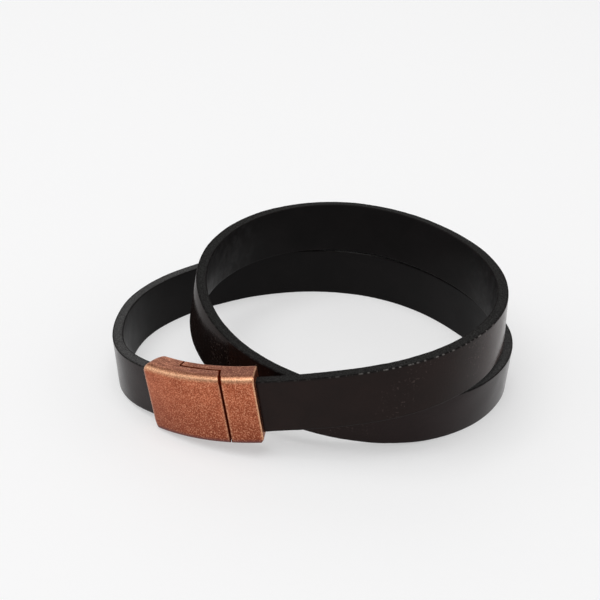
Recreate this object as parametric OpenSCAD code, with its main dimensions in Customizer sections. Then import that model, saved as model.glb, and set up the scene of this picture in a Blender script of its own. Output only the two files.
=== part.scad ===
// Double-wrap leather bracelet. One flat strap goes round twice, and both of its ends
// are held in a curved two-part clasp. It lies on a table with the clasp at the front.
// Seen from above, the strap leaves the clasp's right end, goes round anticlockwise as the
// upper turn, dips behind the clasp and goes round again as the lower turn.

/* [Strap] */
// Width of the strap, from its lower to its upper edge
strap_w = 10; // [9:0.1:10.4]
// Thickness of the leather
strap_t = 2; // [1.6:0.1:2.1]
// Radius of the strap's four long edges
strap_edge = 0.2; // [0.1:0.1:0.7]
// Gap between the lower turn's top edge and the upper turn that lies on it
turn_gap = 0.3; // [0.3:0.1:1]

/* [Clasp] */
// Length of the clasp along the strap
clasp_len = 21.2; // [21:0.2:23]
// Height of the clasp across the strap
clasp_h = 13.1; // [12.9:0.1:14]
// Thickness of the clasp outside the strap's middle
clasp_out = 2.3; // [2.1:0.1:2.6]
// Thickness of the clasp inside the strap's middle
clasp_in = 2.2; // [2.1:0.1:2.6]
// Bend radius of the clasp at the strap's middle
clasp_bend = 35; // [32:1:40]
// Length of the cover's outer face, from the clasp's left end to the joint
cover_len = 15.6; // [15.2:0.2:15.8]
// Length of the tongue that lies behind the cover
tongue_len = 8.8; // [7:0.2:9]
// Gap between the two halves of the clasp
clasp_gap = 0.15; // [0.1:0.05:0.3]
// Radius of the clasp's long edges
clasp_edge = 0.5; // [0.2:0.1:0.7]
// Radius of the corners that the clasp's left end shows from the front
left_corner = 1.3; // [0.5:0.1:1.5]
// Radius of the corners that its right end shows from the front
right_corner = 0.7; // [0.4:0.1:1.2]
// Radius of the left end's outer upright edge
left_outer_edge = 1.2; // [0.5:0.1:1.4]
// Radius of the left end's inner upright edge
left_inner_edge = 2.2; // [0.5:0.1:2.4]
// Radius of the right end's two upright edges
right_edge = 0.4; // [0.2:0.1:1]

/* [Slots] */
// Depth of the strap in the left half
left_seat = 5.5; // [4:0.5:5.5]
// Depth of the strap in the right half
right_seat = 4.5; // [3:0.5:4.5]
// Gap round the strap in its slots
slot_gap = 0.12; // [0.1:0.01:0.15]

/* [Place of the clasp] */
// Turn of the clasp seen from above, in degrees
clasp_yaw = -24; // [-25:0.5:-23]
// Rise of the clasp from its left end to its right, in degrees
clasp_rise = 9; // [8.5:0.5:9.5]
// Lean of the clasp's top edge, in degrees
clasp_lean = 1; // [0:0.5:2]

/* [Hidden] */
leather = "#2b2422";
copper = "#b86b4b";
curve_fn = 96;

// The box of the whole bracelet is centred on the origin, and its underside is at height 0
to_centre = [-2.35, 24.06, 0];
// Middle of the clasp, before that move
clasp_at = [-16.4, -49, 8.3];
// Spacing of the three guide points that run straight out of each mouth of the clasp
mouth_step = 12.5;
// Height of the upper turn's lower edge, where it lies on the lower turn
upper = strap_w + turn_gap;

// Guide points of the strap, one row each, from the clasp's right mouth to its left one:
// x, y, lift of the lower edge over the table, lean of the top edge to the outside in degrees
guide = [
    // Upper turn: front right, right, back, left
    [22.5, -54, upper + 0.7, -2],
    [36, -40.5, upper + 1.2, 0],
    [38.5, -21, upper, -3],
    [29, -5, upper, 10],
    [13.5, 6, upper, 7],
    [-3, 4.5, upper, 4],
    [-15.5, -5.5, upper, -4],
    [-21.5, -23.5, 9.5, -12],
    // It dips behind the clasp and comes out in front, under the upper turn
    [-14, -42.5, 6.25, -3],
    [3.5, -51, 2.5, 1],
    // Lower turn, on the table: front right, right, back, left
    [22, -50, 0, 10],
    [35, -41.5, 0, 10],
    [41, -26.5, 0, -2],
    [32.5, -9.5, 0, 0],
    [19, 3, 0, 0],
    [-0.5, 6, 0, 0],
    [-19, -1, 0, 0],
    [-34, -14.5, 0, 2],
];

// Steps of the smooth line between two guide points, and steps inside each slot
span_steps = 5;
seat_steps = 3;
// Steps of the arc round each edge of the strap and the clasp
edge_steps = 2;
clasp_edge_steps = 4;

// Half the angle that the clasp takes of its bend, and the angles of its two joints
half_angle = arc_angle(clasp_len) / 2;
face_joint = -half_angle + arc_angle(cover_len);
back_joint = face_joint - arc_angle(tongue_len);
// Offset of the lap between cover and tongue, outwards from the strap's middle
lap_at = -0.4;

function arc_angle(length) = length / clasp_bend * 180 / PI;

function about_x(a) = [[1, 0, 0], [0, cos(a), -sin(a)], [0, sin(a), cos(a)]];
function about_y(a) = [[cos(a), 0, sin(a)], [0, 1, 0], [-sin(a), 0, cos(a)]];
function about_z(a) = [[cos(a), -sin(a), 0], [sin(a), cos(a), 0], [0, 0, 1]];

clasp_turn = about_z(clasp_yaw) * about_y(-clasp_rise) * about_x(clasp_lean);
clasp_up = clasp_turn * [0, 0, 1];

// Point and direction of the strap's middle line where it bends with the clasp
function clasp_point(a) =
    clasp_at + clasp_turn * [clasp_bend * sin(a), clasp_bend * (1 - cos(a)), 0];
function clasp_along(a) = clasp_turn * [cos(a), sin(a), 0];

function unit(v) = v / norm(v);
// Upright and outward directions across the strap before it leans
function upright(t) = unit([0, 0, 1] - t[2] * t);
function outward(t) = cross(t, upright(t));
function lean_of(t, w) = atan2(w * outward(t), w * upright(t));
// Height of the strap's middle over its lowest edge
function middle_height(lean) = strap_w / 2 * cos(lean) + strap_t / 2 * abs(sin(lean));

// Guide points in line with a mouth of the clasp
function mouth_row(p, lean) = [p[0], p[1], p[2] - middle_height(lean), lean];
function mouth_rows(a) = [
    for (k = [-1:1])
        mouth_row(
            clasp_point(a) + k * mouth_step * clasp_along(a),
            lean_of(clasp_along(a), clasp_up)
        )
];

rows = concat(mouth_rows(half_angle), guide, mouth_rows(-half_angle));

// Uniform cubic B-spline guided by the rows
function spline(p, i, u) = (
    pow(1 - u, 3) * p[i]
    + (3 * pow(u, 3) - 6 * pow(u, 2) + 4) * p[i + 1]
    + (-3 * pow(u, 3) + 3 * pow(u, 2) + 3 * u + 1) * p[i + 2]
    + pow(u, 3) * p[i + 3]
) / 6;

// Each station of the strap is its middle point and its lean
function station(row) = [[row[0], row[1], max(row[2], 0) + middle_height(row[3])], row[3]];
function seat_station(a) = [clasp_point(a), lean_of(clasp_along(a), clasp_up)];

free_stations = [
    for (i = [0:len(rows) - 4], k = [0:span_steps - 1]) station(spline(rows, i, k / span_steps)),
    station(spline(rows, len(rows) - 4, 1)),
];
right_stations = [
    for (k = [seat_steps:-1:1]) seat_station(half_angle - arc_angle(right_seat) * k / seat_steps)
];
left_stations = [
    for (k = [1:seat_steps]) seat_station(-half_angle + arc_angle(left_seat) * k / seat_steps)
];
stations = concat(right_stations, free_stations, left_stations);
last = len(stations) - 1;

function along(i) = unit(stations[min(i + 1, last)][0] - stations[max(i - 1, 0)][0]);

// Points round a rectangle with rounded corners, anticlockwise from the right
function round_corner(x, y, r, from, steps) = [
    for (k = [0:steps]) [x + r * cos(from + 90 * k / steps), y + r * sin(from + 90 * k / steps)]
];
function round_box(low, high, r, steps) = concat(
    round_corner(high[0] - r, high[1] - r, r, 0, steps),
    round_corner(low[0] + r, high[1] - r, r, 90, steps),
    round_corner(low[0] + r, low[1] + r, r, 180, steps),
    round_corner(high[0] - r, low[1] + r, r, 270, steps)
);

section = round_box(
    [-strap_t / 2, -strap_w / 2], [strap_t / 2, strap_w / 2], strap_edge, edge_steps
);

// The section stood across the strap at a station
function ring(i) =
    let (
        t = along(i),
        lean = stations[i][1],
        up = cos(lean) * upright(t) + sin(lean) * outward(t),
        out = cos(lean) * outward(t) - sin(lean) * upright(t)
    )
    [for (c = section) stations[i][0] + c[0] * out + c[1] * up];

module sweep() {
    sides = len(section);
    points = [for (i = [0:last]) each ring(i)];
    walls = [
        for (i = [0:last - 1], k = [0:sides - 1])
            let (
                a = i * sides + k,
                b = i * sides + (k + 1) % sides
            )
            each [[a, b, a + sides], [b, b + sides, a + sides]]
    ];
    start_cap = [for (k = [sides - 1:-1:0]) k];
    end_cap = [for (k = [0:sides - 1]) last * sides + k];
    polyhedron(points, concat(walls, [start_cap, end_cap]), convexity = 6);
}

// A curved bar that bends with the clasp, between two angles, two offsets and half heights
module bent_bar(from, to, inner, outer, height, edge) {
    translate([0, clasp_bend, 0])
        rotate([0, 0, from - 90])
            rotate_extrude(angle = to - from, $fn = curve_fn)
                translate([clasp_bend, 0])
                    polygon(round_box(
                        [inner, -height / 2], [outer, height / 2], edge, clasp_edge_steps
                    ));
}

// A plain curved bar with sharp edges, for the laps and slots
module bent_cut(from, to, inner, outer, height) {
    translate([0, clasp_bend, 0])
        rotate([0, 0, from - 90])
            rotate_extrude(angle = to - from, $fn = curve_fn)
                translate([clasp_bend + inner, -height / 2])
                    square([outer - inner, height]);
}

// Point seen from above at an angle and a radius of the clasp's bend
function bend_point(radius, a) = [radius * sin(a), clasp_bend - radius * cos(a)];

// Outline of one end of the clasp seen from above, from outside its bend to inside it
function end_outline(side, outer_r, inner_r) =
    let (
        outer = clasp_bend + clasp_out,
        inner = clasp_bend - clasp_in,
        outer_a = side * (half_angle - asin(outer_r / (outer - outer_r))),
        inner_a = side * (half_angle - asin(inner_r / (inner + inner_r)))
    )
    concat(
        [bend_point(outer + end_reach, outer_a)],
        end_arc(bend_point(outer - outer_r, outer_a), outer_r, outer_a, side, 0),
        end_arc(bend_point(inner + inner_r, inner_a), inner_r, inner_a, side, 90),
        [bend_point(inner - end_reach, inner_a)]
    );

// Quarter round of an upright edge, at an angle of the clasp's bend
function end_arc(centre, r, a, side, from) = [
    for (k = [0:clasp_edge_steps])
        let (turn = from + 90 * k / clasp_edge_steps)
        centre + r * [
            cos(turn) * sin(a) + side * sin(turn) * cos(a),
            -cos(turn) * cos(a) + side * sin(turn) * sin(a)
        ]
];

// Outline of the whole clasp seen from the front
function front_outline() =
    let (
        x = (clasp_bend + clasp_out) * sin(half_angle),
        z = clasp_h / 2
    )
    concat(
        round_corner(x - right_corner, z - right_corner, right_corner, 0, clasp_edge_steps),
        round_corner(left_corner - x, z - left_corner, left_corner, 90, clasp_edge_steps),
        round_corner(left_corner - x, left_corner - z, left_corner, 180, clasp_edge_steps),
        round_corner(x - right_corner, right_corner - z, right_corner, 270, clasp_edge_steps)
    );

function reversed(list) = [for (i = [len(list) - 1:-1:0]) list[i]];

// The whole clasp's outer form: a bent bar whose ends are rounded from the front and from above
module clasp_form() {
    depth = 3 * (clasp_in + clasp_out);
    intersection() {
        bent_bar(-half_angle, half_angle, -clasp_in, clasp_out, clasp_h, clasp_edge);
        translate([0, depth, 0])
            rotate([90, 0, 0])
                linear_extrude(2 * depth)
                    polygon(front_outline());
        translate([0, 0, -clasp_h])
            linear_extrude(2 * clasp_h)
                polygon(concat(
                    end_outline(1, right_edge, right_edge),
                    reversed(end_outline(-1, left_outer_edge, left_inner_edge))
                ));
    }
}

module slot(from, to) {
    bent_cut(
        from, to,
        -strap_t / 2 - slot_gap, strap_t / 2 + slot_gap, strap_w + 2 * slot_gap
    );
}

module place_clasp() {
    translate(to_centre + clasp_at)
        rotate([clasp_lean, -clasp_rise, clasp_yaw])
            children();
}

// How far the cuts pass the clasp's faces, in degrees and in millimetres
past_angle = 3;
past = 2;
// How far the ends' outline passes the clasp's outer and inner faces
end_reach = 3;

module strap() {
    color(leather)
        translate(to_centre)
            sweep();
}

// Left half: it covers the outer side of the lap
module clasp_body() {
    color(copper)
        place_clasp()
            difference() {
                clasp_form();
                bent_cut(
                    face_joint, half_angle + past_angle,
                    -clasp_in - past, clasp_out + past, clasp_h + 2 * past
                );
                bent_cut(
                    back_joint, half_angle + past_angle,
                    -clasp_in - past, lap_at, clasp_h + 2 * past
                );
                slot(-half_angle - past_angle, -half_angle + arc_angle(left_seat + slot_gap));
            }
}

// Right half: its tongue lies behind the cover
module clasp_tongue() {
    gap_angle = arc_angle(clasp_gap);
    color(copper)
        place_clasp()
            difference() {
                clasp_form();
                bent_cut(
                    -half_angle - past_angle, back_joint + gap_angle,
                    -clasp_in - past, clasp_out + past, clasp_h + 2 * past
                );
                bent_cut(
                    -half_angle - past_angle, face_joint + gap_angle,
                    lap_at - clasp_gap, clasp_out + past, clasp_h + 2 * past
                );
                slot(half_angle - arc_angle(right_seat + slot_gap), half_angle + past_angle);
            }
}

strap();
clasp_body();
clasp_tongue();
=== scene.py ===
"""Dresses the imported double-wrap leather bracelet: its strap and the two halves of its copper clasp,
on a pale studio floor, seen from the photograph's place. Lengths are in metres unless a name ends
in _MM. Angles among the named values are in degrees unless a name ends in _RAD, and those that are
passed to functions are in radians unless they are called degrees."""

import math

import bpy
import bmesh
import numpy as np
from mathutils import Matrix, Vector, noise


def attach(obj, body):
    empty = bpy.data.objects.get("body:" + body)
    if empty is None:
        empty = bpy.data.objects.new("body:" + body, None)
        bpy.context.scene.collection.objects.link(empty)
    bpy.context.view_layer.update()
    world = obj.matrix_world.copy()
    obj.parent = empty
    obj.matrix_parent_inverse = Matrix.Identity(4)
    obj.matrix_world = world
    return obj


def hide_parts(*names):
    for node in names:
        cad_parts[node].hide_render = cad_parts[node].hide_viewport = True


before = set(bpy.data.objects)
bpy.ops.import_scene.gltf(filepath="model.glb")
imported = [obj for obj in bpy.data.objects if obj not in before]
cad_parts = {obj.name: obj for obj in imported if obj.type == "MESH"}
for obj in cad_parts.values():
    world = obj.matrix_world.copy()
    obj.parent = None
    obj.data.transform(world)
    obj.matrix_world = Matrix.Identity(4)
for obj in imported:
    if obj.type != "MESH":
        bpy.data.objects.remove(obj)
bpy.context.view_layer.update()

MM = 0.001
BODY = "root"

# Sizes of the strap, and the gap between its two turns
STRAP_W = 10 * MM
STRAP_T = 2 * MM
TURN_GAP = 0.3 * MM

# Sizes of the clasp. From the strap's middle it reaches CLASP_OUT outwards and CLASP_IN inwards, and
# LAP_AT is how far outwards its lap joint lies
CLASP_LEN = 21.2 * MM
CLASP_H = 13.1 * MM
CLASP_OUT = 2.3 * MM
CLASP_IN = 2.2 * MM
CLASP_BEND = 35 * MM
COVER_LEN = 15.6 * MM
TONGUE_LEN = 8.8 * MM
CLASP_GAP = 0.15 * MM
LAP_AT = -0.4 * MM
LEFT_SEAT = 5.5 * MM
RIGHT_SEAT = 4.5 * MM
SLOT_GAP = 0.12 * MM

# Place of the clasp and of the whole bracelet
CLASP_YAW = -24
CLASP_RISE = 9
CLASP_LEAN = 1
TO_CENTRE = MM * np.array([-2.35, 24.06, 0])
CLASP_AT = MM * np.array([-16.4, -49, 8.3])

# Distance between the three guide points of the strap at each mouth of the clasp
MOUTH_STEP = 12.5 * MM

# The other guide points, from the clasp's right mouth to its left one, as in the part's source:
# x, y and lift of the lower edge in millimetres, and lean of the top edge to the outside in degrees
UPPER_MM = (STRAP_W + TURN_GAP) / MM
GUIDE_MM = [
    [22.5, -54, UPPER_MM + 0.7, -2],
    [36, -40.5, UPPER_MM + 1.2, 0],
    [38.5, -21, UPPER_MM, -3],
    [29, -5, UPPER_MM, 10],
    [13.5, 6, UPPER_MM, 7],
    [-3, 4.5, UPPER_MM, 4],
    [-15.5, -5.5, UPPER_MM, -4],
    [-21.5, -23.5, 9.5, -12],
    [-14, -42.5, 6.25, -3],
    [3.5, -51, 2.5, 1],
    [22, -50, 0, 10],
    [35, -41.5, 0, 10],
    [41, -26.5, 0, -2],
    [32.5, -9.5, 0, 0],
    [19, 3, 0, 0],
    [-0.5, 6, 0, 0],
    [-19, -1, 0, 0],
    [-34, -14.5, 0, 2],
]

# Camera
CAMERA_AIM = Vector((-0.00235, 0.02406, 0))
CAMERA_DISTANCE = 0.2426
CAMERA_PITCH = 30.64
CAMERA_ROLL = 0.94
CAMERA_LENS_MM = 68.3
CAMERA_SENSOR_MM = 36
CAMERA_CLIP = 0.01


def rotation(axis, degrees):
    return np.array(Matrix.Rotation(math.radians(degrees), 3, axis))


CLASP_TURN = rotation("Z", CLASP_YAW) @ rotation("Y", -CLASP_RISE) @ rotation("X", CLASP_LEAN)
HALF_BEND_RAD = CLASP_LEN / CLASP_BEND / 2


def add_object(name, data):
    """An object in the scene that shows a mesh, a light or a camera."""
    item = bpy.data.objects.new(name, data)
    bpy.context.collection.objects.link(item)
    return item


def make_camera():
    pitch = math.radians(CAMERA_PITCH)
    roll = math.radians(CAMERA_ROLL)
    forward = Vector((0, math.cos(pitch), -math.sin(pitch)))
    level_right = Vector((1, 0, 0))
    level_up = level_right.cross(forward)
    right = math.cos(roll) * level_right + math.sin(roll) * level_up
    up = math.cos(roll) * level_up - math.sin(roll) * level_right
    data = bpy.data.cameras.new("camera")
    data.lens = CAMERA_LENS_MM
    data.sensor_width = CAMERA_SENSOR_MM
    data.clip_start = CAMERA_CLIP
    camera = add_object("camera", data)
    turn = Matrix((right, up, -forward)).transposed()
    camera.matrix_world = Matrix.Translation(CAMERA_AIM - CAMERA_DISTANCE * forward) @ turn.to_4x4()
    bpy.context.scene.camera = camera


def ring_mesh(name, points, sides, split_from):
    """A closed mesh over rings of so many points each, with a cap at each end. Its four-sided
    faces start at their corner number split_from, where their diagonal starts too."""
    rings = len(points) // sides
    faces = []
    for i in range(rings - 1):
        for k in range(sides):
            a = i * sides + k
            b = i * sides + (k + 1) % sides
            face = (a, a + sides, b + sides, b)
            faces.append(face[split_from:] + face[:split_from])
    faces.append(tuple(range(sides)))
    faces.append(tuple((rings - 1) * sides + k for k in range(sides - 1, -1, -1)))
    mesh = bpy.data.meshes.new(name)
    mesh.from_pydata(points, [], faces)
    return mesh


def smooth_shade(mesh):
    mesh.polygons.foreach_set("use_smooth", [True] * len(mesh.polygons))


def add_marks(mesh, marks):
    """Stores each mark, a value for each point, as an attribute that the materials read."""
    for name, values in marks.items():
        layer = mesh.attributes.new(name, "FLOAT", "POINT")
        layer.data.foreach_set("value", values)


# Path of the strap

# Steps along each span between two guide points, and along each end that is seated in the clasp
SPAN_STEPS = 40
SEAT_STEPS = 12


def clasp_point(angle):
    """Where the strap's middle line passes the clasp, at an angle of its bend in radians."""
    bent = np.array([math.sin(angle), 1 - math.cos(angle), 0])
    return TO_CENTRE + CLASP_AT + CLASP_TURN @ (CLASP_BEND * bent)


def clasp_along(angle):
    return CLASP_TURN @ np.array([math.cos(angle), math.sin(angle), 0])


def unit(vectors):
    return vectors / np.linalg.norm(vectors, axis=-1, keepdims=True)


def upright(along):
    """Directions square to the strap's run that point up, before it leans."""
    return unit(np.array([0, 0, 1]) - along[..., 2:] * along)


def lean_in_clasp(angle):
    along = clasp_along(angle)
    up = CLASP_TURN @ np.array([0, 0, 1])
    return math.atan2(up @ np.cross(along, upright(along)), up @ upright(along))


def middle_height(lean):
    """Height of the strap's middle over its lowest edge."""
    return STRAP_W / 2 * np.cos(lean) + STRAP_T / 2 * np.abs(np.sin(lean))


def mouth_rows(angle):
    lean = lean_in_clasp(angle)
    points = [clasp_point(angle) + k * MOUTH_STEP * clasp_along(angle) for k in (-1, 0, 1)]
    return [[p[0], p[1], p[2] - middle_height(lean), lean] for p in points]


def guide_rows():
    rows = [[x * MM, y * MM, lift * MM, math.radians(lean)] for x, y, lift, lean in GUIDE_MM]
    return [[x + TO_CENTRE[0], y + TO_CENTRE[1], lift, lean] for x, y, lift, lean in rows]


def spline(rows, steps):
    """Samples the uniform cubic B-spline that the rows guide."""
    u = np.arange(steps)[:, None] / steps
    weights = [(1 - u) ** 3, 3 * u ** 3 - 6 * u ** 2 + 4, -3 * u ** 3 + 3 * u ** 2 + 3 * u + 1, u ** 3]
    spans = [
        sum(w * rows[i + k] for k, w in enumerate(weights)) / 6
        for i in range(len(rows) - 3)
    ]
    end = (rows[-3] + 4 * rows[-2] + rows[-1]) / 6
    return np.vstack(spans + [end])


def strap_stations():
    """Middle points and leans along the whole strap, its ends in the clasp's slots included."""
    rows = np.array(mouth_rows(HALF_BEND_RAD) + guide_rows() + mouth_rows(-HALF_BEND_RAD))
    free = spline(rows, SPAN_STEPS)
    free[:, 2] = np.maximum(free[:, 2], 0) + middle_height(free[:, 3])
    right_turn = RIGHT_SEAT / CLASP_BEND * np.arange(SEAT_STEPS, 0, -1) / SEAT_STEPS
    left_turn = LEFT_SEAT / CLASP_BEND * np.arange(1, SEAT_STEPS + 1) / SEAT_STEPS
    right_angles = HALF_BEND_RAD - right_turn
    left_angles = -HALF_BEND_RAD + left_turn
    seats = [
        np.array([[*clasp_point(a), lean_in_clasp(a)] for a in angles])
        for angles in (right_angles, left_angles)
    ]
    stations = np.vstack([seats[0], free, seats[1]])
    return stations[:, :3], stations[:, 3]


# Strap

HALF_SECTION = np.array([STRAP_T / 2, STRAP_W / 2])
SECTION_EDGE = 0.18 * MM
FACE_CELLS = 16
RIM_CELLS = 6
CORNER_STEPS = 4
# How much a point has to face outwards or inwards to be on the flat outer or inner face
FLAT_FACE = 0.9
# How much a point has to face up or down for the cut rim to begin, and for it to be whole
RIM_FADE = (0.1875, 0.8125)
# Distances from a long corner up to which it is burnished or painted with glints fully, and where that
# ends
CORNER_FADE = (0.11 * MM, 0.33 * MM)
GLINT_FADE = (0.078 * MM, 0.208 * MM)
# Travel along the strap over which the upper turn becomes the lower one
LOWER_TURN_MM = (190, 215)
# Travel over which the inner face is cloudy and creased, in the right and the left bend, and how much
CLOUDY_MM = (40, 52, 70, 80, 128, 137, 148, 156)
CLOUDY_SHARE = (0, 1, 1, 0, 0, 1, 1, 0)
# Travel along the strap over which the outer face's upper corner has most painted glints, and how much
GLINT_MM = (16, 26, 44, 52)
GLINT_SHARE = (0.15, 1, 1, 0.15)
# Travel and share of the right bend's browner outer face: partly its own tone, partly painted warm
# sheen
BROWN_SHEEN_MM = (42, 57, 75, 90)
BROWN_SHEEN_SHARE = (0, 1, 1, 0)
# Travel over which the tight left bend rolls the outer face back, by how many degrees below and
# above, and the share of the height where the one gives way to the other along the bend
ROLL_MM = (143, 150, 172, 182)
ROLL_SHARE = (0, 1, 1, 0)
ROLL_LOW = 9
ROLL_HIGH = 18
ROLL_FROM_MM = (156, 172)
ROLL_FROM_HEIGHT = (0.5, 0.85)
ROLL_BLEND = 0.3
# The face swells and sinks, the inner face creases, and the rim is rough: size and height of each
SWELL_SIZE = 5 * MM
SWELL_HEIGHT = 0.05 * MM
CREASE_SIZE = 1.6 * MM
CREASE_DEPTH = 0.05 * MM
ROUGH_SIZE = 0.7 * MM
ROUGH_HEIGHT = 0.03 * MM
# Scale of the creases' places, which draws them out upwards, and how narrow they are
CREASE_SCALE = np.array([1, 1, 0.45])
CREASE_SHARPNESS = 4
# How far each seed moves the noise
NOISE_STEP = (17.3, 5.1, -9.7)


def strap_section():
    """Points round the strap's section, anticlockwise from the outer face's lower corner, and the
    direction in which each one faces."""
    corners = [(1, -1, -90), (1, 1, 0), (-1, 1, 90), (-1, -1, 180)]
    points = []
    normals = []
    for index, (side_x, side_y, start) in enumerate(corners):
        centre = np.array([side_x, side_y]) * (HALF_SECTION - SECTION_EDGE)
        for k in range(CORNER_STEPS + 1):
            angle = math.radians(start + 90 * k / CORNER_STEPS)
            normals.append(np.array([math.cos(angle), math.sin(angle)]))
            points.append(centre + SECTION_EDGE * normals[-1])
        next_x, next_y, _ = corners[(index + 1) % 4]
        next_centre = np.array([next_x, next_y]) * (HALF_SECTION - SECTION_EDGE)
        following = next_centre + SECTION_EDGE * normals[-1]
        cells = FACE_CELLS if index % 2 == 0 else RIM_CELLS
        begin = points[-1]
        shares = [(1 - math.cos(math.pi * k / cells)) / 2 for k in range(1, cells)]
        points += [begin + (following - begin) * share for share in shares]
        normals += [normals[-1]] * (cells - 1)
    return np.array(points), np.array(normals)


def noise_at(points, size, seed):
    """Smooth noise from -1 to 1 at points, with features of the given size."""
    offset = Vector([seed * step for step in NOISE_STEP])
    return np.array([noise.noise(Vector(p) / size + offset) for p in points])


def strap_marks(section, section_normals, travel):
    """The share of each state, painted shade, sheen and glint of the leather at each point, and its
    travel along it.
    """
    rings = len(travel)
    sides = len(section)

    def along_strap(places_mm, shares):
        return np.repeat(np.interp(travel / MM, places_mm, shares), sides)

    to_corner = np.linalg.norm(HALF_SECTION - np.abs(section), axis=1)
    upper_corner = np.interp(to_corner, GLINT_FADE, (1, 0)) * (section > 0).all(axis=1)
    return {
        "rim": np.tile(np.interp(np.abs(section_normals[:, 1]), RIM_FADE, (0, 1)), rings),
        "corner": np.tile(np.interp(to_corner, CORNER_FADE, (1, 0)), rings),
        "glints": along_strap(GLINT_MM, GLINT_SHARE) * np.tile(upper_corner, rings),
        "lower": along_strap(LOWER_TURN_MM, (0, 1)),
        "brown_sheen": along_strap(BROWN_SHEEN_MM, BROWN_SHEEN_SHARE),
        "cloudy": along_strap(CLOUDY_MM, CLOUDY_SHARE),
        "travel": np.repeat(travel, sides),
    }


def roughened(points, normals, inner, marks):
    """The strap's points with its uneven surface. Those on the floor stay above it."""
    swell = noise_at(points, SWELL_SIZE, seed=1) * SWELL_HEIGHT
    folds = noise_at(points * CREASE_SCALE, CREASE_SIZE, seed=2)
    crease = np.clip(1 - np.abs(folds) * CREASE_SHARPNESS, 0, 1) * CREASE_DEPTH
    crease = crease * inner * (1 - marks["rim"]) * marks["cloudy"]
    rough = noise_at(points, ROUGH_SIZE, seed=3) * ROUGH_HEIGHT * marks["rim"]
    points = points + normals * (swell - crease + rough)[:, None]
    points[:, 2] = np.maximum(points[:, 2], 0)
    return points


def roll_normals(mesh, section, section_normals, travel, up):
    """Tilts the normals where the tight left bend rolls the outer face back, most of all near its
    upper edge."""
    rings = len(travel)
    sides = len(section)
    height = np.tile(section[:, 1] / STRAP_W + 0.5, rings)
    outer_face = np.tile(section_normals[:, 0] > FLAT_FACE, rings)
    rolled = outer_face * np.repeat(np.interp(travel / MM, ROLL_MM, ROLL_SHARE), sides)
    roll_from = np.repeat(np.interp(travel / MM, ROLL_FROM_MM, ROLL_FROM_HEIGHT), sides)
    high = np.clip((height - roll_from) / ROLL_BLEND, 0, 1)
    roll = np.radians(ROLL_LOW + (ROLL_HIGH - ROLL_LOW) * high) * rolled
    facing = np.zeros(len(mesh.vertices) * 3)
    mesh.vertices.foreach_get("normal", facing)
    facing = facing.reshape(-1, 3) + np.tan(roll)[:, None] * np.repeat(up, sides, axis=0)
    mesh.normals_split_custom_set_from_vertices(unit(facing).tolist())


def make_strap():
    centres, leans = strap_stations()
    section, section_normals = strap_section()
    rings = len(centres)
    sides = len(section)

    along = unit(np.gradient(centres, axis=0))
    rise = upright(along)
    outward = np.cross(along, rise)
    lean = leans[:, None]
    up = np.cos(lean) * rise + np.sin(lean) * outward
    out = np.cos(lean) * outward - np.sin(lean) * rise
    steps = np.linalg.norm(np.diff(centres, axis=0), axis=1)
    travel = np.concatenate([[0], np.cumsum(steps)])

    def stand(places):
        """Places or directions in the section, stood across the strap at each station."""
        sideways = places[None, :, :1] * out[:, None, :]
        upwards = places[None, :, 1:] * up[:, None, :]
        return (sideways + upwards).reshape(-1, 3)

    points = np.repeat(centres, sides, axis=0) + stand(section)
    inner = np.tile(section[:, 0] < 0, rings)
    marks = strap_marks(section, section_normals, travel)
    points = roughened(points, stand(section_normals), inner, marks)

    mesh = ring_mesh("strap_mesh", points.tolist(), sides, split_from=0)
    smooth_shade(mesh)
    mesh.materials.append(outer_leather())
    mesh.materials.append(inner_leather())
    inner_face = section_normals[:, 0] < -FLAT_FACE
    cell_materials = (inner_face & np.roll(inner_face, -1)).astype(int).tolist()
    cap_materials = [0, 0]
    mesh.polygons.foreach_set("material_index", cell_materials * (rings - 1) + cap_materials)
    add_marks(mesh, marks)
    mesh.validate()
    roll_normals(mesh, section, section_normals, travel, up)
    piece = add_object("leather_strap", mesh)
    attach(piece, BODY)
    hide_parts("strap")


# Clasp

LONG_EDGE = 0.5 * MM
FACE_TOP = 1.3 * MM
JOINT_EDGE = 0.2 * MM
JOINT_CORNER = 0.25 * MM
LAP_CORNER = 0.1 * MM
JOINT_SLANT = 0.8 * MM
LEFT_OUTER_CORNER = 1.2 * MM
LEFT_INNER_CORNER = 2.2 * MM
LEFT_TOP = 1.5 * MM
LEFT_BOTTOM = 1.7 * MM
RIGHT_CORNER = 0.4 * MM
RIGHT_TOP = 0.35 * MM
RIGHT_BOTTOM = 1.1 * MM
FACE_JOINT = COVER_LEN - CLASP_LEN / 2
BACK_JOINT = FACE_JOINT - TONGUE_LEN
# Size of the cells, steps round an upright corner, rows over the top and the bottom edge, and how much
# further in the rings on the lid and the underside lie
GRID = 0.35 * MM
ROUND_STEPS = 8
EDGE_ROWS = 14
LID_STEPS = (0.1 * MM, 0.35 * MM)
# How far the block that cuts a slot passes the end of the clasp
SLOT_OVERRUN = 1 * MM
# Angle between two faces from which the edge between them looks sharp
SHARP_ANGLE = 32
# Painted shade darkens a joint up to this distance from its middle, and fully from this depth in it on
JOINT_REACH = 0.3 * MM
RECESS_DEPTH = 0.03 * MM
# A painted shadow also darkens the joint's rims at the front of the lid, this far to the sides and
# down
NOTCH_REACH = 0.22 * MM
NOTCH_DEPTH = 0.5 * MM
# One minus the largest part of a unit normal that faces midway between two walls
ROUNDEST = 1 - math.sqrt(0.5)
# Distances from a joint up to which its lips are worn fully, and where that ends, and how much
LIP_FADE = (0.15 * MM, 0.65 * MM)
LIP_WEAR = 0.35
# Distances below the top over which the lid gives way to the walls
LID_FADE = (0, 0.25 * MM)

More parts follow.
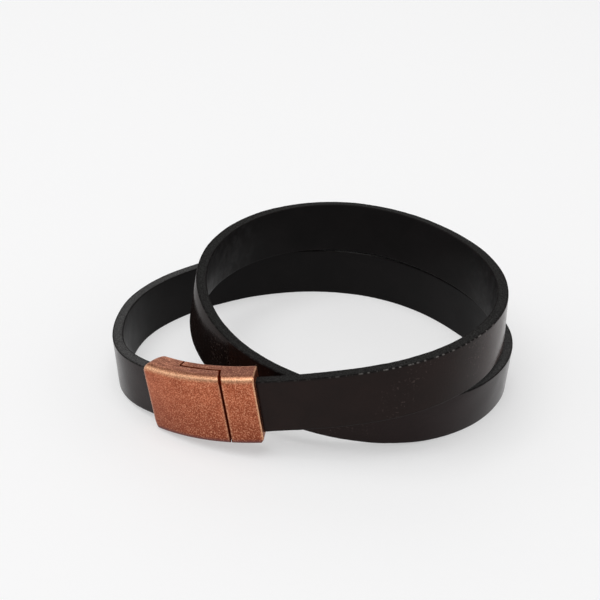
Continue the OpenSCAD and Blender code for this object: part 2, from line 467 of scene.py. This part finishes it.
# Corners of each half seen from above, unbent, clockwise: place along and outwards, radius of the
# corner, and radius of the top and of the bottom edge of the wall that follows
BODY_CORNERS = [
    (-CLASP_LEN / 2, CLASP_OUT, LEFT_OUTER_CORNER, FACE_TOP, LONG_EDGE),
    (FACE_JOINT, CLASP_OUT, JOINT_CORNER, JOINT_EDGE, JOINT_EDGE),
    (FACE_JOINT - JOINT_SLANT, LAP_AT, LAP_CORNER, JOINT_EDGE, JOINT_EDGE),
    (BACK_JOINT, LAP_AT, 0, JOINT_EDGE, JOINT_EDGE),
    (BACK_JOINT, -CLASP_IN, JOINT_CORNER, LONG_EDGE, LONG_EDGE),
    (-CLASP_LEN / 2, -CLASP_IN, LEFT_INNER_CORNER, LEFT_TOP, LEFT_BOTTOM),
]
TONGUE_CORNERS = [
    (FACE_JOINT + CLASP_GAP, CLASP_OUT, JOINT_CORNER, FACE_TOP, LONG_EDGE),
    (CLASP_LEN / 2, CLASP_OUT, RIGHT_CORNER, RIGHT_TOP, RIGHT_BOTTOM),
    (CLASP_LEN / 2, -CLASP_IN, RIGHT_CORNER, LONG_EDGE, LONG_EDGE),
    (BACK_JOINT + CLASP_GAP, -CLASP_IN, JOINT_CORNER, JOINT_EDGE, JOINT_EDGE),
    (BACK_JOINT + CLASP_GAP, LAP_AT - CLASP_GAP, LAP_CORNER, JOINT_EDGE, JOINT_EDGE),
    (FACE_JOINT - JOINT_SLANT + CLASP_GAP, LAP_AT - CLASP_GAP, 0, JOINT_EDGE, JOINT_EDGE),
]


def outline_at(corners, insets):
    """Points round a half's outline with the wall after each corner moved in by its inset. The
    arcs at the corners shrink with the insets, down to a sharp mitre."""
    count = len(corners)
    arcs = []
    cells = []
    for index, (x, y, radius, *_) in enumerate(corners):
        here = np.array([x, y])
        following = np.array(corners[(index + 1) % count][:2])
        before = unit(np.array(corners[index - 1][:2]) - here)
        after = unit(following - here)
        inward = np.array([[-before[1], before[0]], [after[1], -after[0]]])
        mitre = here + np.linalg.solve(inward, [insets[index - 1], insets[index]])
        along_after = max(radius - insets[index - 1], 0) * after
        along_before = max(radius - insets[index], 0) * before
        arc = []
        for k in range(ROUND_STEPS + 1 if radius > 0 else 1):
            angle = math.pi / 2 * k / ROUND_STEPS
            curve = (1 - math.cos(angle)) * along_after + (1 - math.sin(angle)) * along_before
            arc.append(mitre + curve)
        arcs.append(arc)
        cells.append(max(1, round(float(np.linalg.norm(following - here)) / GRID)))
    points = []
    for index, arc in enumerate(arcs):
        wall = arcs[(index + 1) % count][0] - arc[-1]
        points += arc
        points += [arc[-1] + wall * k / cells[index] for k in range(1, cells[index])]
    return points


def clasp_levels():
    """Heights of the rings over the clasp's middle, from the lowest to the highest, with the
    distance of each to the nearer of the top and the bottom."""
    deepest = max(LEFT_TOP, LEFT_BOTTOM, RIGHT_TOP, RIGHT_BOTTOM)
    edge = [deepest * (1 - math.sin(math.pi / 2 * k / EDGE_ROWS)) for k in range(EDGE_ROWS + 1)]
    wall = CLASP_H - 2 * deepest
    cells = round(wall / GRID)
    depths = edge[::-1] + [None] * (cells - 1) + edge
    heights = [-CLASP_H / 2 + d for d in edge[::-1]]
    heights += [-wall / 2 + wall * k / cells for k in range(1, cells)]
    heights += [CLASP_H / 2 - d for d in edge]
    return [(z, deepest if d is None else d) for z, d in zip(heights, depths)]


def loft_half(corners):
    """An unbent half of the clasp without its slot."""
    top_radii, bottom_radii = np.array([corner[3:] for corner in corners]).T
    levels = []
    for z, depth in clasp_levels():
        radii = top_radii if z > 0 else bottom_radii
        rise = np.clip(radii - depth, 0, None)
        levels.append((z, radii - np.sqrt(radii ** 2 - rise ** 2)))
    for step in LID_STEPS:
        levels.insert(0, (-CLASP_H / 2, bottom_radii + step))
        levels.append((CLASP_H / 2, top_radii + step))
    rings = [[(x, y, z) for x, y in outline_at(corners, insets)] for z, insets in levels]
    points = [point for ring in rings for point in ring]
    return ring_mesh("clasp_half", points, len(rings[0]), split_from=3)


def slot_mesh(start, end):
    """The block that is cut out of an unbent half for the strap's end."""
    mesh = bpy.data.meshes.new("slot")
    box = bmesh.new()
    bmesh.ops.create_cube(box, size=1)
    size = Vector((end - start, STRAP_T + 2 * SLOT_GAP, STRAP_W + 2 * SLOT_GAP))
    bmesh.ops.scale(box, vec=size, verts=box.verts)
    bmesh.ops.translate(box, vec=Vector(((start + end) / 2, 0, 0)), verts=box.verts)
    box.to_mesh(mesh)
    box.free()
    return mesh


def cut(mesh, cutter_mesh):
    """The mesh with another one cut out of it."""
    solid = add_object("solid", mesh)
    cutter = add_object("cutter", cutter_mesh)
    modifier = solid.modifiers.new("slot", "BOOLEAN")
    modifier.operation = "DIFFERENCE"
    modifier.solver = "EXACT"
    modifier.object = cutter
    depsgraph = bpy.context.evaluated_depsgraph_get()
    result = bpy.data.meshes.new_from_object(solid.evaluated_get(depsgraph))
    bpy.data.objects.remove(solid)
    bpy.data.objects.remove(cutter)
    return result


def bend_and_place(points):
    """Unbent clasp points in the bracelet's frame."""
    angles = points[:, 0] / CLASP_BEND
    radii = CLASP_BEND + points[:, 1]
    bent = np.stack(
        [radii * np.sin(angles), CLASP_BEND - radii * np.cos(angles), points[:, 2]], axis=1
    )
    return TO_CENTRE + CLASP_AT + bent @ CLASP_TURN.T


def clasp_marks(points, normals):
    """Wear, painted shade in the joints and place of each point of an unbent half."""
    along, outwards, upwards = points.T
    flatness = np.abs(normals).max(axis=1)
    face_depth = np.minimum(CLASP_OUT - outwards, outwards + CLASP_IN)
    outer_side = outwards > LAP_AT
    slant = JOINT_SLANT * (CLASP_OUT - outwards) / (CLASP_OUT - LAP_AT)
    joint_place = np.where(outer_side, FACE_JOINT - slant, BACK_JOINT)
    to_joint = np.abs(along - joint_place - CLASP_GAP / 2)

    # Worn where it is rounded, and on the lips of the joint
    rounded = np.clip((1 - flatness) / ROUNDEST, 0, 1)
    lip = LIP_WEAR * np.interp(to_joint, LIP_FADE, (1, 0)) * (face_depth < RECESS_DEPTH)

    # Painted shade inside the joint and the lap, and a painted shadow on the joint's rims at the lid
    in_lap = (along > BACK_JOINT) & (along < FACE_JOINT) & (np.abs(outwards - LAP_AT) < JOINT_REACH)
    depth = np.minimum(face_depth, CLASP_H / 2 - np.abs(upwards))
    inside = (to_joint < JOINT_REACH) | in_lap
    below_lid = CLASP_H / 2 - upwards
    notch = outer_side & (below_lid < NOTCH_DEPTH) & (to_joint < NOTCH_REACH)
    return {
        "wear": np.maximum(rounded, lip),
        "joint_shade": np.where(notch, 1, inside * np.clip(depth / RECESS_DEPTH, 0, 1)),
        "lid": np.interp(below_lid, LID_FADE, (1, 0)),
        "height": upwards / CLASP_H + 0.5,
        "run": along,
        "depth": outwards,
    }


def make_half(name, node, corners, slot_start, slot_end, material):
    mesh = cut(loft_half(corners), slot_mesh(slot_start, slot_end))
    mesh.name = name
    points = np.zeros(len(mesh.vertices) * 3)
    normals = np.zeros(len(mesh.vertices) * 3)
    mesh.vertices.foreach_get("co", points)
    mesh.vertices.foreach_get("normal", normals)
    points = points.reshape(-1, 3)
    add_marks(mesh, clasp_marks(points, normals.reshape(-1, 3)))
    mesh.vertices.foreach_set("co", bend_and_place(points).ravel())
    # Placing mirrors the half sideways, so its faces are flipped back
    mesh.flip_normals()
    smooth_shade(mesh)
    mesh.set_sharp_from_angle(angle=math.radians(SHARP_ANGLE))
    mesh.update()
    mesh.materials.clear()
    mesh.materials.append(material)
    piece = add_object(name, mesh)
    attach(piece, BODY)
    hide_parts(node)


# Materials

# Each pattern's size, detail and roughness, and the two values of its noise that become 0 and 1
PATTERNS = {
    "leather_patches": (7 * MM, 4, 0.55, 0.30, 0.70),
    "leather_gloss": (2.5 * MM, 4, 0.55, 0.30, 0.70),
    "fibre": (0.24 * MM, 3, 0.60, 0.35, 0.65),
    "scuffs": (0.45 * MM, 2, 0.55, 0.61, 0.68),
    "scuffed_places": (8 * MM, 2, 0.55, 0.48, 0.60),
    "dashes": (1 * MM, 3, 0.55, 0.50, 0.57),
    "clouds": (1.8 * MM, 3, 0.60, 0.48, 0.66),
    "copper_patches": (3 * MM, 3, 0.55, 0.30, 0.70),
    "streaks": (0.6 * MM, 2, 0.55, 0.38, 0.62),
}
# Size, detail and roughness of the noise that is the leather's grain and the copper's specks
GRAIN = (0.5 * MM, 4, 0.60)
SPECKS = (0.24 * MM, 2, 0.60)

# Outer leather: face, lower turn's face in painted shade, bend browned partly as painted sheen, scuffs
# and painted glints
FACE_DARK = (0.0072, 0.0048, 0.0042, 1)
FACE_PALE = (0.0118, 0.0070, 0.0060, 1)
LOWER_SHADED_DARK = (0.0058, 0.0022, 0.0024, 1)
LOWER_SHADED_PALE = (0.0080, 0.0032, 0.0034, 1)
BEND_BROWN_SHEEN = (0.034, 0.0145, 0.011, 1)
SCUFF = (0.050, 0.036, 0.033, 1)
GLINT_TONE = (0.14, 0.132, 0.125, 1)
# Travel along the strap over which scuffs set in
SCUFFED_FROM = (18 * MM, 34 * MM)
# Cut rims of the two turns, the lower one's paler as painted light, and their burnished corners
UPPER_RIM_DARK = (0.006, 0.006, 0.006, 1)
UPPER_RIM_PALE = (0.032, 0.033, 0.032, 1)
LOWER_RIM_LIT_DARK = (0.030, 0.030, 0.030, 1)
LOWER_RIM_LIT_PALE = (0.100, 0.100, 0.099, 1)
BURNISHED = (0.003, 0.003, 0.003, 1)
BURNISH_SHARE = 0.85
FACE_ROUGHNESS = (0.16, 0.23)
RIM_ROUGHNESS = 1.0
FACE_SPECULAR = 0.15
FACE_SPECULAR_TINT = (1.0, 0.80, 0.78, 1)
LEATHER_RELIEF = 0.06 * MM
FACE_RELIEF_SHARE = 0.25
RIM_RELIEF_SHARE = 1.0

# Inner leather
INNER_DARK = (0.0050, 0.0044, 0.0044, 1)
INNER_PALE = (0.0075, 0.0063, 0.0064, 1)
INNER_CLOUD = (0.016, 0.015, 0.015, 1)
INNER_ROUGHNESS = (0.34, 0.42)
INNER_SPECULAR = 0.08
INNER_RELIEF_SHARE = 0.3

# Copper: its walls, and its lid with streaks along it that turns darker to the right
COPPER_DARK = (0.38, 0.095, 0.044, 1)
COPPER_PALE = (0.55, 0.165, 0.082, 1)
LID_DARK = (0.22, 0.070, 0.037, 1)
LID_PALE = (0.60, 0.250, 0.150, 1)
LID_SHARE = 0.85
LID_RIGHT = (0.15, 0.055, 0.040, 1)
LID_RIGHT_RUN = (-3 * MM, 7 * MM)
LID_RIGHT_SHARE = 0.72
# Scale of the streaks' places, which draws them out along the clasp
STREAK_SCALE = (0.22, 1, 1)
# Painted shade, darker low down and darkest at the foot: share of the height at which each sets in and
# is full
LOW_SHADE = (0.21, 0.048, 0.025, 1)
LOW_HEIGHTS = (0.7, 0)
LOW_SHARE = 0.85
FOOT_SHADE = (0.13, 0.055, 0.055, 1)
FOOT_HEIGHTS = (0.08, 0.03)
FOOT_SHARE = 0.85
# Contrast of the specks: over the run from near the left end to the middle, and on the lid
CONTRAST_RUN = (-9 * MM, 0)
FACE_CONTRAST = (0.42, 0.62)
LID_CONTRAST = 0.55
# Dark patina, bright metal and worn edges, and the values of the specks over which each sets in
PATINA = (0.16, 0.036, 0.016, 1)
PATINA_SPECKS = (0.50, 0.40)
BRIGHT = (0.76, 0.37, 0.215, 1)
BRIGHT_SPECKS = (0.54, 0.64)
WORN = (0.98, 0.60, 0.36, 1)
WORN_SPECKS = (0.36, 0.60)
WORN_SHARE = (0.45, 0.95)
# Painted shade in the joints and the lap, dark and matt
JOINT_SHADE = (0.10, 0.012, 0.004, 1)
COPPER_ROUGHNESS = 0.42
WORN_ROUGHNESS = 0.40
JOINT_SHADE_ROUGHNESS = 0.9
SPECK_RELIEF = 0.02 * MM
SPECK_RELIEF_SHARE = 0.7


def feed(tree, socket, value):
    """Links the socket to another node's output, or sets it to a plain value."""
    if isinstance(value, bpy.types.NodeSocket):
        tree.links.new(value, socket)
    else:
        socket.default_value = value


def add_node(tree, kind, inputs=None, **settings):
    node = tree.nodes.new(kind)
    for key, value in settings.items():
        setattr(node, key, value)
    for key, value in (inputs or {}).items():
        feed(tree, node.inputs[key], value)
    return node


def blank_material(name):
    material = bpy.data.materials.new(name)
    material.use_nodes = True
    tree = material.node_tree
    tree.nodes.clear()
    shader = add_node(tree, "ShaderNodeBsdfPrincipled")
    add_node(tree, "ShaderNodeOutputMaterial", {"Surface": shader.outputs[0]})
    return material, tree, shader


def object_place(tree):
    return add_node(tree, "ShaderNodeTexCoord").outputs["Object"]


def attribute(tree, name):
    return add_node(tree, "ShaderNodeAttribute", attribute_name=name).outputs["Fac"]


def noise_value(tree, vector, size, detail, roughness):
    inputs = {"Vector": vector, "Scale": 1 / size, "Detail": detail, "Roughness": roughness}
    return add_node(tree, "ShaderNodeTexNoise", inputs).outputs["Fac"]


def map_range(tree, value, low, high, to_low=0, to_high=1):
    inputs = {"Value": value, "From Min": low, "From Max": high, "To Min": to_low, "To Max": to_high}
    return add_node(tree, "ShaderNodeMapRange", inputs).outputs["Result"]


def pattern(tree, vector, name, to_low=0, to_high=1):
    size, detail, roughness, low, high = PATTERNS[name]
    value = noise_value(tree, vector, size, detail, roughness)
    return map_range(tree, value, low, high, to_low, to_high)


def mix(tree, kind, factor, low, high):
    """A Mix node. Its sockets of each kind share their names, so they are found by kind too."""
    node = add_node(tree, "ShaderNodeMix", data_type=kind)
    mixed_kind = {"RGBA": "RGBA", "FLOAT": "VALUE"}[kind]
    inputs = {"Factor": ("VALUE", factor), "A": (mixed_kind, low), "B": (mixed_kind, high)}
    for key, (socket_kind, value) in inputs.items():
        socket = next(s for s in node.inputs if s.name == key and s.type == socket_kind and s.enabled)
        feed(tree, socket, value)
    return next(s for s in node.outputs if s.enabled)


def mix_colour(tree, factor, low, high):
    return mix(tree, "RGBA", factor, low, high)


def mix_value(tree, factor, low, high):
    return mix(tree, "FLOAT", factor, low, high)


def multiply(tree, a, b):
    node = add_node(tree, "ShaderNodeMath", operation="MULTIPLY")
    for socket, value in zip(node.inputs, (a, b)):
        feed(tree, socket, value)
    return node.outputs[0]


def bump(tree, height, distance, strength):
    inputs = {"Height": height, "Distance": distance, "Strength": strength}
    return add_node(tree, "ShaderNodeBump", inputs).outputs["Normal"]


def rim_tone(tree, fibre, lower):
    """Grey and flecked with fibre, and paler on the lower turn as painted light."""
    upper_rim = mix_colour(tree, fibre, UPPER_RIM_DARK, UPPER_RIM_PALE)
    lower_rim = mix_colour(tree, fibre, LOWER_RIM_LIT_DARK, LOWER_RIM_LIT_PALE)
    return mix_colour(tree, lower, upper_rim, lower_rim)


def scuff_share(tree, place):
    """Specks in a few places, none of them next to the clasp's front."""
    places = pattern(tree, place, "scuffed_places")
    places = multiply(tree, places, map_range(tree, attribute(tree, "travel"), *SCUFFED_FROM))
    return multiply(tree, pattern(tree, place, "scuffs"), places)


def outer_leather():
    """The smooth outer face and the cut rims."""
    material, tree, shader = blank_material("chocolate_leather")
    place = object_place(tree)
    rim = attribute(tree, "rim")
    lower = attribute(tree, "lower")

    # The face is warm and dark, browner in one bend partly as painted warm sheen, darker on the lower
    # turn as painted shade
    patches = pattern(tree, place, "leather_patches")
    tone = mix_colour(tree, patches, FACE_DARK, FACE_PALE)
    tone = mix_colour(tree, attribute(tree, "brown_sheen"), tone, BEND_BROWN_SHEEN)
    tone = mix_colour(tree, scuff_share(tree, place), tone, SCUFF)
    # Painted shade darkens the lower turn's face
    tone = mix_colour(tree, lower, tone, mix_colour(tree, patches, LOWER_SHADED_DARK, LOWER_SHADED_PALE))
    fibre = pattern(tree, place, "fibre")
    tone = mix_colour(tree, rim, tone, rim_tone(tree, fibre, lower))

    # The long corners are burnished dark, and the upper one has painted glints, bright in short dashes
    burnish = multiply(tree, attribute(tree, "corner"), BURNISH_SHARE)
    tone = mix_colour(tree, burnish, tone, BURNISHED)
    dash_place = add_node(tree, "ShaderNodeCombineXYZ", {"X": attribute(tree, "travel")}).outputs[0]
    bright = multiply(tree, attribute(tree, "glints"), pattern(tree, dash_place, "dashes"))
    feed(tree, shader.inputs["Base Color"], mix_colour(tree, bright, tone, GLINT_TONE))

    gloss = pattern(tree, place, "leather_gloss", *FACE_ROUGHNESS)
    feed(tree, shader.inputs["Roughness"], mix_value(tree, rim, gloss, RIM_ROUGHNESS))
    shader.inputs["Specular IOR Level"].default_value = FACE_SPECULAR
    shader.inputs["Specular Tint"].default_value = FACE_SPECULAR_TINT

    relief = mix_value(tree, rim, noise_value(tree, place, *GRAIN), fibre)
    strength = mix_value(tree, rim, FACE_RELIEF_SHARE, RIM_RELIEF_SHARE)
    feed(tree, shader.inputs["Normal"], bump(tree, relief, LEATHER_RELIEF, strength))
    return material


def inner_leather():
    """The duller inner face, cloudy in two of the bends."""
    material, tree, shader = blank_material("chocolate_leather_inside")
    place = object_place(tree)
    tone = mix_colour(tree, pattern(tree, place, "leather_patches"), INNER_DARK, INNER_PALE)
    bend_clouds = multiply(tree, attribute(tree, "cloudy"), pattern(tree, place, "clouds"))
    feed(tree, shader.inputs["Base Color"], mix_colour(tree, bend_clouds, tone, INNER_CLOUD))

    gloss = pattern(tree, place, "leather_gloss", *INNER_ROUGHNESS)
    feed(tree, shader.inputs["Roughness"], gloss)
    shader.inputs["Specular IOR Level"].default_value = INNER_SPECULAR
    grain = noise_value(tree, place, *GRAIN)
    feed(tree, shader.inputs["Normal"], bump(tree, grain, LEATHER_RELIEF, INNER_RELIEF_SHARE))
    return material


def lid_tone(tree, run):
    """Duller than the walls, with streaks along it, and darker to the right."""
    lid_place = add_node(tree, "ShaderNodeCombineXYZ", {"X": run, "Y": attribute(tree, "depth")})
    scaled = {"Vector": lid_place.outputs[0], "Scale": STREAK_SCALE}
    lid_place = add_node(tree, "ShaderNodeMapping", scaled).outputs[0]
    tone = mix_colour(tree, pattern(tree, lid_place, "streaks"), LID_DARK, LID_PALE)
    rightwards = map_range(tree, run, *LID_RIGHT_RUN, 0, LID_RIGHT_SHARE)
    return mix_colour(tree, rightwards, tone, LID_RIGHT)


def copper_material():
    """Antique copper: specks of patina and bright metal, bright worn edges, painted shade in joints
    and low down.
    """
    material, tree, shader = blank_material("antique_copper")
    place = object_place(tree)
    wear = attribute(tree, "wear")
    joint_shade = attribute(tree, "joint_shade")
    lid = attribute(tree, "lid")
    run = attribute(tree, "run")
    height = attribute(tree, "height")
    specks = noise_value(tree, place, *SPECKS)

    tone = mix_colour(tree, pattern(tree, place, "copper_patches"), COPPER_DARK, COPPER_PALE)
    tone = mix_colour(tree, multiply(tree, lid, LID_SHARE), tone, lid_tone(tree, run))
    # Painted shade darkens the walls low down
    low = map_range(tree, height, *LOW_HEIGHTS, 0, LOW_SHARE)
    tone = mix_colour(tree, low, tone, LOW_SHADE)

    face_contrast = map_range(tree, run, *CONTRAST_RUN, *FACE_CONTRAST)
    contrast = mix_value(tree, lid, face_contrast, LID_CONTRAST)
    dark = multiply(tree, map_range(tree, specks, *PATINA_SPECKS), contrast)
    tone = mix_colour(tree, dark, tone, PATINA)
    light = multiply(tree, map_range(tree, specks, *BRIGHT_SPECKS), contrast)
    tone = mix_colour(tree, light, tone, BRIGHT)
    worn = multiply(tree, wear, map_range(tree, specks, *WORN_SPECKS, *WORN_SHARE))
    tone = mix_colour(tree, worn, tone, WORN)
    # Painted shade darkens the foot most
    foot = map_range(tree, height, *FOOT_HEIGHTS, 0, FOOT_SHARE)
    tone = mix_colour(tree, foot, tone, FOOT_SHADE)
    feed(tree, shader.inputs["Base Color"], mix_colour(tree, joint_shade, tone, JOINT_SHADE))
    feed(tree, shader.inputs["Metallic"], map_range(tree, joint_shade, 0, 1, 1, 0))

    shader.inputs["Specular IOR Level"].default_value = 0.0
    gloss = mix_value(tree, wear, COPPER_ROUGHNESS, WORN_ROUGHNESS)
    feed(tree, shader.inputs["Roughness"], mix_value(tree, joint_shade, gloss, JOINT_SHADE_ROUGHNESS))
    feed(tree, shader.inputs["Normal"], bump(tree, specks, SPECK_RELIEF, SPECK_RELIEF_SHARE))
    return material


# Studio

WHITE = (1, 1, 1, 1)
FLOOR_SIZE = 3.0
FLOOR_TONE = (0.585, 0.585, 0.588, 1)
FLOOR_GLOW = 0.425
FLOOR_ROUGHNESS = 0.9
WALL_GLOW = 0.92
CEILING_GLOW = 0.19
# Upward share of a direction at which the walls give way to the ceiling
WALL_TOP = 0.65

# Soft lights: name, place, size, power in watts
LIGHTS = [
    ("top_light", (-0.20, -0.22, 1.15), 1.15, 8.6),
    ("back_light", (0, 1.20, 0.75), 1.2, 2.2),
    ("left_light", (-1.20, 0, 0.70), 0.8, 1.6),
    ("right_light", (1.20, 0, 0.70), 0.8, 1.6),
]


def make_floor():
    mesh = bpy.data.meshes.new("floor")
    half = FLOOR_SIZE / 2
    corners = [(-half, -half, 0), (half, -half, 0), (half, half, 0), (-half, half, 0)]
    mesh.from_pydata(corners, [], [(0, 1, 2, 3)])
    floor = add_object("floor", mesh)
    material, _, shader = blank_material("pale_floor")
    shader.inputs["Base Color"].default_value = FLOOR_TONE
    shader.inputs["Roughness"].default_value = FLOOR_ROUGHNESS
    shader.inputs["Specular IOR Level"].default_value = 0.0
    shader.inputs["Emission Color"].default_value = WHITE
    shader.inputs["Emission Strength"].default_value = FLOOR_GLOW
    mesh.materials.append(material)


def make_room():
    """Pale walls that light the object from all sides, under a darker ceiling."""
    world = bpy.data.worlds.new("studio")
    world.use_nodes = True
    tree = world.node_tree
    background = tree.nodes["Background"]
    background.inputs["Color"].default_value = WHITE
    directions = add_node(tree, "ShaderNodeTexCoord").outputs["Generated"]
    upward = add_node(tree, "ShaderNodeSeparateXYZ", {"Vector": directions}).outputs["Z"]
    glow = map_range(tree, upward, 0, WALL_TOP, WALL_GLOW, CEILING_GLOW)
    feed(tree, background.inputs["Strength"], glow)
    bpy.context.scene.world = world


def make_lights():
    for name, place, size, power in LIGHTS:
        data = bpy.data.lights.new(name, "AREA")
        data.shape = "SQUARE"
        data.size = size
        data.energy = power
        light = add_object(name, data)
        light.location = place
        light.rotation_euler = (-Vector(place)).to_track_quat("-Z", "Y").to_euler()


make_camera()
make_strap()
antique_copper = copper_material()
make_half(
    "clasp_cover_half", "clasp_body", BODY_CORNERS,
    -CLASP_LEN / 2 - SLOT_OVERRUN, -CLASP_LEN / 2 + LEFT_SEAT + SLOT_GAP, antique_copper
)
make_half(
    "clasp_tongue_half", "clasp_tongue", TONGUE_CORNERS,
    CLASP_LEN / 2 - RIGHT_SEAT - SLOT_GAP, CLASP_LEN / 2 + SLOT_OVERRUN, antique_copper
)
make_floor()
make_room()
make_lights()
bpy.context.scene.view_settings.view_transform = "Standard"
bpy.context.scene.view_settings.look = "None"
